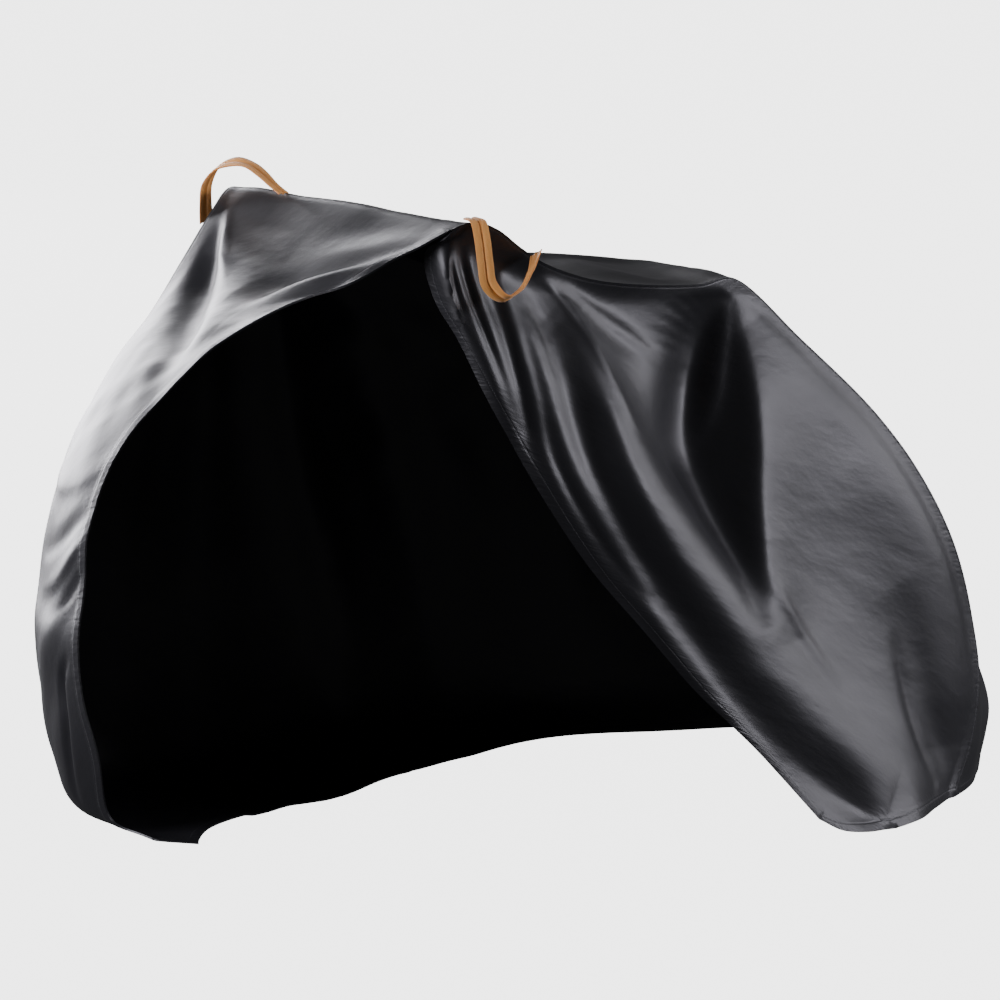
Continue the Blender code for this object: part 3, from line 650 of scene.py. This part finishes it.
def swells(grid):
    """Soft unevenness, from the distances along the cloth."""
    across, down = lengths_across(grid), lengths_down(grid)
    total = np.zeros(grid.shape[:2])
    for swell in SWELLS:
        total += swell.height * ripple(across / swell.size, down / swell.size, swell.seed)
    return total


def fold_offset(flat, marks):
    """The offset of one fold. Each point takes its widths and depth from the nearest place on the line."""
    run = np.concatenate(((0,), np.cumsum(np.linalg.norm(np.diff(marks[:, :2], axis=0), axis=1))))
    line = smooth(run, marks, np.linspace(0, run[-1], FOLD_STEPS + 1))
    best = np.full(flat.shape[:2], np.inf)
    offset = np.zeros(flat.shape[:2])
    for start, end in zip(line[:-1], line[1:]):
        step = end[:2] - start[:2]
        away = flat - start[:2]
        share = np.clip(away @ step / (step @ step), 0, 1)[..., None]
        away = away - share * step
        squared = np.sum(away * away, axis=2)
        fore, aft, depth = np.moveaxis((start + share * (end - start))[..., 2:], 2, 0)
        side = step[0] * away[..., 1] - step[1] * away[..., 0]
        width = np.where(side > 0, aft, fore)
        nearer = squared < best
        best[nearer] = squared[nearer]
        offset[nearer] = (depth * np.exp(-squared / width**2))[nearer]
    return offset


def centre_offsets(grid):
    """The centre panel's folds: its front, roof and rear each have their own, faded out where they meet."""
    row = np.arange(len(grid))[:, None]
    roof_end = FRONT_ROWS + ROOF_ROWS
    reach = ZONE_FADE * FRONT_ROWS
    front = np.clip((FRONT_ROWS - row) / reach, 0, 1)
    rear = np.clip((row - roof_end) / reach, 0, 1)
    roof = np.clip(np.minimum(row - FRONT_ROWS, roof_end - row) / reach, 0, 1)
    return (
        fold_offsets(grid, "front") * front
        + fold_offsets(grid, "roof") * roof
        + fold_offsets(grid, "rear") * rear
    )


def folded(grid, panel, seams):
    """The grid with its folds, its seams kept where they are and its lowest points on the floor."""
    rows, columns = grid.shape[:2]
    from_seam = np.full((rows, columns), np.inf)
    i, j = np.arange(rows)[:, None], np.arange(columns)[None, :]
    distances = {"top": i + 0 * j, "left": j + 0 * i, "right": columns - 1 - j + 0 * i}
    if panel == "centre":
        distances["left"] = j + np.maximum(FRONT_ROWS - i, 0)
    for seam in seams:
        from_seam = np.minimum(from_seam, distances[seam])
    hold = eased(np.clip(from_seam / SEAM_HOLD, 0, 1))
    offsets = centre_offsets(grid) if panel == "centre" else fold_offsets(grid, panel)
    offsets = offsets + swells(grid)
    moved = grid + normals_of(grid) * (offsets * hold)[..., None]
    moved[..., 2] = np.maximum(moved[..., 2], FLOOR_CLEARANCE + CLOTH / 2)
    return moved


def skins(grid, normal, seam_lines):
    """Outer and inner skin of a panel. Along each seam both panels end on the plane halfway between them."""
    half = CLOTH / 2
    outer, inner = grid + normal * half, grid - normal * half
    for index, inward, shared in seam_lines:
        point = grid[index]
        run = np.gradient(point, axis=0)
        run /= np.linalg.norm(run, axis=1, keepdims=True)
        middle = shared - run * np.sum(shared * run, axis=1, keepdims=True)
        middle /= np.linalg.norm(middle, axis=1, keepdims=True)
        lean = np.abs(np.sum(middle * normal[index], axis=1, keepdims=True))
        lean = np.clip(lean, LEAST_LEAN, 1)
        side = np.cross(middle, run)
        side *= np.sign(np.sum(side * (grid[inward] - point), axis=1, keepdims=True))
        outer[index] = point + middle * half / lean + side * SEAM_GAP / 2
        inner[index] = point - middle * half / lean + side * SEAM_GAP / 2
    return outer, inner


# The free edges of each panel, which are turned over and stitched. Its other edges are seams.
HEMS = {"centre": ("front left", "top", "bottom"), "near": ("left", "bottom"), "far": ("bottom",)}


def edge_places(grid, panel):
    """How far along the nearest edge each point lies, how far in from it, and its distance to a hem."""
    across, down = lengths_across(grid), lengths_down(grid)
    distance = {
        "left": (across, down),
        "right": (across[:, -1:] - across, down),
        "top": (down, across),
        "bottom": (down[-1:] - down, across),
    }
    if panel == "centre":
        row = np.arange(len(grid))[:, None]
        distance["front left"] = (np.where(row < FRONT_ROWS, across, FAR_OFF), down)
    run = down
    inward = np.full(across.shape, FAR_OFF)
    from_hem = np.full(across.shape, FAR_OFF)
    for edge, (away, beside) in distance.items():
        hem = edge in HEMS[panel]
        place = away if hem else away + SEAM_ALLOWANCE
        run = np.where(place < inward, beside, run)
        inward = np.minimum(place, inward)
        if hem:
            from_hem = np.minimum(away, from_hem)
    return run, inward, from_hem


def hemmed(outer, inner, panel):
    """The two skins with the turned hem standing out a little along the free edges."""
    _, _, from_hem = edge_places(outer, panel)
    share = np.clip((HEM_WIDTH + HEM_STEP / 2 - from_hem) / HEM_STEP, 0, 1)
    rise = HEM_RISE * eased(share)[..., None]
    out = outer - inner
    out /= np.linalg.norm(out, axis=2, keepdims=True)
    inner = inner - 0.5 * rise * out
    inner[..., 2] = np.maximum(inner[..., 2], FLOOR_CLEARANCE)
    outer = outer + rise * out
    outer[..., 2] = np.maximum(outer[..., 2], FLOOR_CLEARANCE)
    return outer, inner


def halves(quads):
    """Two triangles from each quad, cut from its first corner to its third."""
    return np.vstack((quads[:, :3], quads[:, (0, 2, 3)]))


def sheet_mesh(name, outer, inner, panel):
    """A closed thin sheet from its two skins, both cut into triangles the same way."""
    rows, columns = outer.shape[:2]
    count = rows * columns
    number = np.arange(count).reshape(rows, columns)
    cells = (number[:-1, :-1], number[1:, :-1], number[1:, 1:], number[:-1, 1:])
    quads = np.stack(cells, -1).reshape(-1, 4)
    corner = outer.reshape(-1, 3)[quads]
    lengths = np.linalg.norm(corner[:, :2] - corner[:, 2:], axis=2)
    turned = np.where(lengths[:, :1] <= lengths[:, 1:], quads, np.roll(quads, -1, axis=1))
    skin = halves(turned)
    rim = np.concatenate((number[0, :-1], number[:-1, -1], number[-1, :0:-1], number[:0:-1, 0]))
    onward = np.roll(rim, -1)
    wall = halves(np.stack((rim, onward, onward + count, rim + count), -1))
    faces = np.vstack((skin, skin[:, ::-1] + count, wall))
    mesh = bpy.data.meshes.new(name)
    vertices = np.vstack((outer.reshape(-1, 3), inner.reshape(-1, 3)))
    mesh.from_pydata(vertices.tolist(), [], faces.tolist())
    if signed_volume(vertices, faces) < 0:
        mesh.flip_normals()
    run, inward, _ = edge_places(outer, panel)
    add_uv(mesh, "cloth", lengths_across(outer), lengths_down(outer), count)
    add_uv(mesh, "edge", run, inward, count)
    mesh.shade_smooth()
    mesh.set_sharp_from_angle(angle=SHARP)
    return mesh


def lengths_across(skin):
    """How far each point of a skin lies from the start of its row, along the cloth."""
    step = np.linalg.norm(np.diff(skin, axis=1), axis=2)
    return np.hstack((np.zeros((len(skin), 1)), np.cumsum(step, axis=1)))


def lengths_down(skin):
    return lengths_across(skin.transpose(1, 0, 2)).T


def add_uv(mesh, name, u, v, count):
    """Texture coordinates in metres along the cloth, the same on both skins."""
    layer = mesh.uv_layers.new(name=name)
    corner = np.empty(len(mesh.loops), np.int32)
    mesh.loops.foreach_get("vertex_index", corner)
    place = np.column_stack((u.ravel(), v.ravel()))[corner % count]
    layer.data.foreach_set("uv", place.ravel().astype(np.float32))


# The webbing's section: places across it, from -1 to 1, and how far each is lifted, metres. It is folded
# lengthwise, so a crease runs down its middle.
WEBBING_SECTION = (
    (-1.00, -0.0006),
    (-0.80, 0.0006),
    (-0.50, 0.0010),
    (-0.20, 0.0004),
    (0.00, -0.0022),
    (0.20, 0.0004),
    (0.50, 0.0010),
    (0.80, 0.0006),
    (1.00, -0.0006),
)


def ribbon_mesh(name, turns):
    """A closed band of webbing along its turns."""
    points = np.array([turn.at for turn in turns])
    gap = np.linalg.norm(np.diff(points, axis=0), axis=1)
    knots = np.concatenate(((0,), np.cumsum(gap)))
    where = np.linspace(0, knots[-1], WEBBING_STEPS + 1)
    line = smooth(knots, points, where)
    broad = smooth(knots, np.array([turn.broad for turn in turns]), where)
    run = np.gradient(line, axis=0)
    run /= np.linalg.norm(run, axis=1, keepdims=True)
    broad -= run * np.sum(broad * run, axis=1, keepdims=True)
    broad *= WEBBING_WIDTH / 2 / np.linalg.norm(broad, axis=1, keepdims=True)
    thick = np.cross(run, broad)
    thick *= WEBBING / 2 / np.linalg.norm(thick, axis=1, keepdims=True)
    side, lift = np.array(WEBBING_SECTION)[:, :, None, None].transpose(1, 0, 2, 3)
    middle = line + broad * side + thick * lift * 2 / WEBBING
    top, under = middle + thick, middle - thick
    ring = np.concatenate((top, under[::-1])).transpose(1, 0, 2)
    size = ring.shape[1]
    number = np.arange(len(ring) * size).reshape(-1, size)
    onward = np.roll(number, -1, axis=1)
    sides = np.stack((number[:-1], onward[:-1], onward[1:], number[1:]), -1).reshape(-1, 4)
    step = np.arange(size // 2 - 1)
    cap = np.stack((step, step + 1, size - 2 - step, size - 1 - step), -1)
    faces = halves(np.vstack((sides, number[0][cap[:, ::-1]], number[-1][cap])))
    vertices = ring.reshape(-1, 3)
    mesh = bpy.data.meshes.new(name)
    mesh.from_pydata(vertices.tolist(), [], faces.tolist())
    if signed_volume(vertices, faces) < 0:
        mesh.flip_normals()
    run_length = np.repeat(np.linspace(0, knots[-1], WEBBING_STEPS + 1), size)
    breadth = (1 + side.ravel()) * WEBBING_WIDTH / 2
    breadth = np.tile(np.concatenate((breadth, breadth[::-1])), WEBBING_STEPS + 1)
    add_uv(mesh, "cloth", run_length, breadth, len(vertices))
    mesh.shade_smooth()
    mesh.set_sharp_from_angle(angle=SHARP)
    return mesh


def signed_volume(vertices, faces):
    a, b, c = vertices[faces].transpose(1, 0, 2)
    return np.sum(a * np.cross(b, c)) / 6


def make_panels():
    """The three panels, each with its folds, meeting at two seams."""
    centre = centre_grid()
    roof_end = FRONT_ROWS + ROOF_ROWS
    near, far = near_grid(centre), far_grid(centre)
    centre = folded(centre, "centre", ("left", "right"))
    near = folded(near, "near", ("top", "right"))
    far = folded(far, "far", ("top", "left", "right"))
    normal = {"centre": normals_of(centre), "near": normals_of(near), "far": normals_of(far)}
    grids = {"centre": centre, "near": near, "far": far}

    # Each seam: the rows of the centre panel it takes, and the line of the side panel it joins
    seams = (
        ("near", slice(FRONT_ROWS, roof_end + 1), 0, (0, slice(None)), (1, slice(None))),
        ("near", slice(roof_end, None), 0, (slice(None), -1), (slice(None), -2)),
        ("far", slice(FRONT_ROWS, roof_end + 1), -1, (0, slice(None)), (1, slice(None))),
        ("far", slice(roof_end, None), -1, (slice(None), -1), (slice(None), -2)),
        ("far", slice(FRONT_ROWS, None, -1), -1, (slice(None), 0), (slice(None), 1)),
    )
    lines = {"centre": [], "near": [], "far": []}
    for panel, rows, column, index, inward in seams:
        shared = normal["centre"][rows, column] + normal[panel][index]
        beside = 1 if column == 0 else -2
        lines[panel].append((index, inward, shared))
        lines["centre"].append(((rows, column), (rows, beside), shared))
    return {panel: skins(grids[panel], normal[panel], lines[panel]) for panel in grids}


# Camera: where it looks, from which side and how far off
AIM = Vector((0.070, 0.0, 0.560)) - Vector(ORIGIN)
AZIMUTH = np.radians(-26.0)
ELEVATION = np.radians(10.4)
DISTANCE = 16.0
LENS_MM = 322.56
SENSOR_MM = 36.0


def add_camera():
    away = Vector(
        (
            np.sin(AZIMUTH) * np.cos(ELEVATION),
            -np.cos(AZIMUTH) * np.cos(ELEVATION),
            np.sin(ELEVATION),
        )
    )
    data = bpy.data.cameras.new("camera")
    data.lens = LENS_MM
    data.sensor_width = SENSOR_MM
    camera = bpy.data.objects.new("camera", data)
    camera.location = AIM + away * DISTANCE
    camera.rotation_euler = away.to_track_quat("Z", "Y").to_euler()
    bpy.context.scene.collection.objects.link(camera)
    bpy.context.scene.camera = camera


# Softboxes: where each stands, its width and height in metres, and its power in watts. All face LIT_PLACE.
Softbox = namedtuple("Softbox", "name place width height power")
SOFTBOXES = (
    Softbox("backdrop", (-0.8, 7.0, 1.35), 5.0, 2.7, 640),
    Softbox("backdrop_high", (0.3, 7.0, 3.4), 1.4, 1.4, 80),
    Softbox("left", (-6.0, 0.6, 1.7), 3.2, 2.6, 330),
    Softbox("right_key", (6.0, -1.7, 2.1), 4.6, 2.4, 150),
    Softbox("front_right", (4.3, -4.5, 2.7), 2.2, 1.5, 170),
    Softbox("overhead", (0.0, 0.5, 6.0), 4.0, 4.0, 40),
)
LIT_PLACE = Vector((0.15, 0.0, 0.5))
LIGHT_COLOUR = (0.965, 0.955, 1.0)
WORLD_STRENGTH = 0.06

# The floor is its own light, so it stays one even pale tone from front to back
FLOOR_HALF_WIDTH = 40.0
FLOOR_GLOW = 3.9


def add_lights():
    for box in SOFTBOXES:
        data = bpy.data.lights.new(box.name, "AREA")
        data.shape = "RECTANGLE"
        data.size = box.width
        data.size_y = box.height
        data.energy = box.power
        data.color = LIGHT_COLOUR
        light = bpy.data.objects.new(box.name, data)
        light.location = box.place
        towards = LIT_PLACE - light.location
        light.rotation_euler = towards.to_track_quat("-Z", "Y").to_euler()
        bpy.context.scene.collection.objects.link(light)
    world = bpy.data.worlds.new("studio")
    world.use_nodes = True
    background = world.node_tree.nodes["Background"]
    background.inputs["Color"].default_value = (1.0, 1.0, 1.0, 1.0)
    background.inputs["Strength"].default_value = WORLD_STRENGTH
    bpy.context.scene.world = world


def add_floor():
    half = FLOOR_HALF_WIDTH
    corners = [(-half, -half, 0), (half, -half, 0), (half, half, 0), (-half, half, 0)]
    mesh = bpy.data.meshes.new("studio_floor")
    mesh.from_pydata(corners, [], [(0, 1, 2, 3)])
    made = bpy.data.materials.new("studio_floor")
    made.use_nodes = True
    shader = made.node_tree.nodes["Principled BSDF"]
    shader.inputs["Base Color"].default_value = (0.06, 0.06, 0.06, 1.0)
    shader.inputs["Roughness"].default_value = 1.0
    shader.inputs["Specular IOR Level"].default_value = 0.0
    shader.inputs["Emission Color"].default_value = (1.0, 1.0, 1.0, 1.0)
    shader.inputs["Emission Strength"].default_value = FLOOR_GLOW
    mesh.materials.append(made)
    floor = bpy.data.objects.new("studio_floor", mesh)
    bpy.context.scene.collection.objects.link(floor)
    floor.visible_diffuse = False
    floor.visible_glossy = False


# Cloth finish: sizes in metres, colours linear
WEAVE = (0.0009, 0.00045, 0.00008)
RUMPLES_PER_METRE = 26.0
PATCHES_PER_METRE = 5.0
STITCH_LINE = 0.018
STITCH = 0.0050
STITCH_SHARE = 0.66
THREAD = 0.0011
GROOVE = 0.0030
PUCKER = 0.0080
PUCKER_REACH = 0.045
BLACK = (0.016, 0.016, 0.019, 1.0)
THREAD_GREY = (0.060, 0.060, 0.066, 1.0)
LEAST_ROUGHNESS = 0.37
ROUGHNESS_SPREAD = 0.10

# Webbing finish: its ribs' length, width and the gap between them, metres, and its colours, with painted
# shade in the gaps
RIBS = (0.0022, 0.0014, 0.0002)
RIB_COLOURS = ((1.0, 0.48, 0.12, 1.0), (1.0, 0.42, 0.09, 1.0))
# Painted shade: the gaps between the ribs, where they sink in, are coloured a darker orange
PAINTED_GAP_SHADE = (0.85, 0.30, 0.06, 1.0)


def new_material(name):
    """A material, its node tree and its Principled shader."""
    made = bpy.data.materials.new(name)
    made.use_nodes = True
    return made, made.node_tree, made.node_tree.nodes["Principled BSDF"]


def uv_socket(tree, layer):
    made = tree.nodes.new("ShaderNodeUVMap")
    made.uv_map = layer
    return made.outputs["UV"]


def noise(tree, place, scale, detail):
    made = tree.nodes.new("ShaderNodeTexNoise")
    made.inputs["Scale"].default_value = scale
    made.inputs["Detail"].default_value = detail
    tree.links.new(place, made.inputs["Vector"])
    return made.outputs["Fac"]


def woven(tree, place, sizes):
    """Threads over and under one another, as rows of short bricks: their length, width and gap."""
    length, width, gap = sizes
    made = tree.nodes.new("ShaderNodeTexBrick")
    made.offset = 0.5
    made.inputs["Scale"].default_value = 1.0
    made.inputs["Brick Width"].default_value = length
    made.inputs["Row Height"].default_value = width
    made.inputs["Mortar Size"].default_value = gap
    made.inputs["Mortar Smooth"].default_value = 1.0
    tree.links.new(place, made.inputs["Vector"])
    return made


def bump(tree, height, strength, distance, below=None):
    """A Bump on one height socket, stacked on the normal of the one below it."""
    made = tree.nodes.new("ShaderNodeBump")
    made.inputs["Strength"].default_value = strength
    made.inputs["Distance"].default_value = distance
    tree.links.new(height, made.inputs["Height"])
    if below:
        tree.links.new(below.outputs["Normal"], made.inputs["Normal"])
    return made


def maths(tree, operation, first, second=0.0, third=0.0):
    """A Math node's result. Each value is a number or a socket."""
    made = tree.nodes.new("ShaderNodeMath")
    made.operation = operation
    for index, value in enumerate((first, second, third)):
        if isinstance(value, (int, float)):
            made.inputs[index].default_value = value
        else:
            tree.links.new(value, made.inputs[index])
    return made.outputs["Value"]


def stitching(tree, run, inward):
    """Dashes of thread along a line in from every hem and seam, and the shallow groove they lie in."""
    off_line = maths(tree, "ABSOLUTE", maths(tree, "SUBTRACT", inward, STITCH_LINE))
    thread = maths(tree, "LESS_THAN", off_line, THREAD / 2)
    along_stitch = maths(tree, "FRACT", maths(tree, "DIVIDE", run, STITCH))
    dash = maths(tree, "LESS_THAN", along_stitch, STITCH_SHARE)
    groove = maths(tree, "MINIMUM", maths(tree, "DIVIDE", off_line, GROOVE), 1.0)
    return maths(tree, "MULTIPLY", thread, dash), groove


def puckering(tree, run, inward):
    """Short ripples across the hems and the seams, dying out inward."""
    stretch = tree.nodes.new("ShaderNodeCombineXYZ")
    tree.links.new(maths(tree, "DIVIDE", run, PUCKER), stretch.inputs["X"])
    tree.links.new(maths(tree, "DIVIDE", inward, 3 * PUCKER), stretch.inputs["Y"])
    pucker = noise(tree, stretch.outputs["Vector"], 1.0, 1.0)
    beside = maths(tree, "SUBTRACT", 1.0, maths(tree, "DIVIDE", inward, PUCKER_REACH))
    return maths(tree, "MULTIPLY", pucker, maths(tree, "MAXIMUM", beside, 0.0))


def coated_cloth():
    """Black coated cloth: satin, a little worn in patches, stitched and puckered along its edges."""
    made, tree, shader = new_material("coated_cloth")
    shader.inputs["Specular IOR Level"].default_value = 0.55
    shader.inputs["Specular Tint"].default_value = (0.95, 0.94, 1.0, 1.0)
    cloth = uv_socket(tree, "cloth")
    place = tree.nodes.new("ShaderNodeSeparateXYZ")
    tree.links.new(uv_socket(tree, "edge"), place.inputs["Vector"])
    run, inward = place.outputs["X"], place.outputs["Y"]
    stitch, groove = stitching(tree, run, inward)

    patch = noise(tree, cloth, PATCHES_PER_METRE, 3.0)
    roughness = maths(tree, "MULTIPLY_ADD", patch, ROUGHNESS_SPREAD, LEAST_ROUGHNESS)
    tree.links.new(roughness, shader.inputs["Roughness"])
    colour = tree.nodes.new("ShaderNodeMix")
    colour.data_type = "RGBA"
    colour.inputs["A"].default_value = BLACK
    colour.inputs["B"].default_value = THREAD_GREY
    tree.links.new(stitch, colour.inputs["Factor"])
    tree.links.new(colour.outputs["Result"], shader.inputs["Base Color"])

    normal = bump(tree, noise(tree, cloth, RUMPLES_PER_METRE, 4.0), 0.10, 0.01)
    normal = bump(tree, puckering(tree, run, inward), 0.35, 0.004, normal)
    normal = bump(tree, groove, 0.6, 0.0006, normal)
    normal = bump(tree, stitch, 0.6, 0.0005, normal)
    normal = bump(tree, woven(tree, cloth, WEAVE).outputs["Fac"], 0.06, 0.0002, normal)
    tree.links.new(normal.outputs["Normal"], shader.inputs["Normal"])
    return made


def orange_webbing():
    """Ribbed orange webbing with a soft sheen, and painted shade: a darker orange in the gaps between its
    ribs.
    """
    made, tree, shader = new_material("orange_webbing")
    shader.inputs["Roughness"].default_value = 0.55
    shader.inputs["Sheen Weight"].default_value = 0.3
    ribs = woven(tree, uv_socket(tree, "cloth"), RIBS)
    ribs.inputs["Color1"].default_value = RIB_COLOURS[0]
    ribs.inputs["Color2"].default_value = RIB_COLOURS[1]
    # The gaps between the ribs take the darker orange of painted shade
    ribs.inputs["Mortar"].default_value = PAINTED_GAP_SHADE
    tree.links.new(ribs.outputs["Color"], shader.inputs["Base Color"])
    normal = bump(tree, ribs.outputs["Fac"], 0.5, 0.0004)
    normal.invert = True
    tree.links.new(normal.outputs["Normal"], shader.inputs["Normal"])
    return made


def add(name, mesh, finish):
    """An object of this mesh, moved to the part's own origin."""
    mesh.transform(Matrix.Translation(-Vector(ORIGIN)))
    mesh.materials.append(finish)
    made = bpy.data.objects.new(name, mesh)
    bpy.context.scene.collection.objects.link(made)
    return made


def declare(piece, node):
    """What the piece rides on, and the solid it replaces."""
    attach(piece, "root")
    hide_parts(node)


def main():
    add_camera()
    add_lights()
    add_floor()
    black = coated_cloth()
    for panel, (outer, inner) in make_panels().items():
        name = panel + "_cloth"
        outer, inner = hemmed(outer, inner, panel)
        piece = add(name, sheet_mesh(name, outer, inner, panel), black)
        declare(piece, panel + "_panel")
    orange = orange_webbing()
    for node, turns in LOOPS.items():
        name = node + "_webbing"
        piece = add(name, ribbon_mesh(name, turns), orange)
        declare(piece, node)


main()
